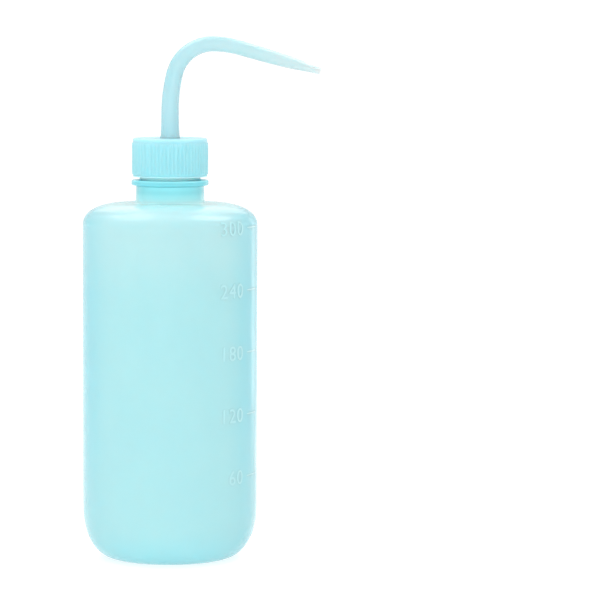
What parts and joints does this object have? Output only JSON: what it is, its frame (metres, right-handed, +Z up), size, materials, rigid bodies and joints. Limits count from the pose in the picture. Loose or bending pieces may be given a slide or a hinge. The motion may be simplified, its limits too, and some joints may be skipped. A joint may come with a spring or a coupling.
{
  "type": "wash bottle",
  "caption": "Squeeze wash bottle with a ribbed screw cap, a bent swivelling spout and a dip tube that draws from the base.",
  "frame": {"origin": "centre of the base, on the surface that the bottle stands on", "axes": "+Z up along the bottle's axis, +X towards the jet tip, -Y the front with the spout pointing right"},
  "size_m": [0.0817, 0.06, 0.1795],
  "materials": {
    "bottle": "pale aqua translucent low-density polyethylene, blow moulded, satin",
    "cap": "aqua translucent polypropylene, injection moulded, satin with ribs",
    "stopper": "pale translucent low-density polyethylene",
    "tube": "pale translucent polyethylene, extruded",
    "spout": "pale aqua translucent low-density polyethylene, moulded, soft gloss"
  },
  "bodies": {
    "bottle": {"bottle": "bottle"},
    "draw_off": {"stopper": "stopper", "dip_tube": "tube"},
    "cap": {"screw_cap": "cap"},
    "spout": {"spout": "spout"}
  },
  "joints": [
    {"name": "cap_rise", "type": "slide", "parent": "bottle", "child": "draw_off", "axis": [0, 0, 1], "range_m": [0, 0.0038]},
    {"name": "cap_turn", "type": "hinge", "parent": "draw_off", "child": "cap", "pos_m": [0, 0, 0.138], "axis": [0, 0, 1], "range_deg": [0, 450]},
    {"name": "spout_swivel", "type": "hinge", "parent": "draw_off", "child": "spout", "pos_m": [0, 0, 0.138], "axis": [0, 0, 1], "continuous": true}
  ],
  "couplings": [
    {"joint": "cap_rise", "follows": "cap_turn", "m_per_rad": 0.00047746}
  ]
}
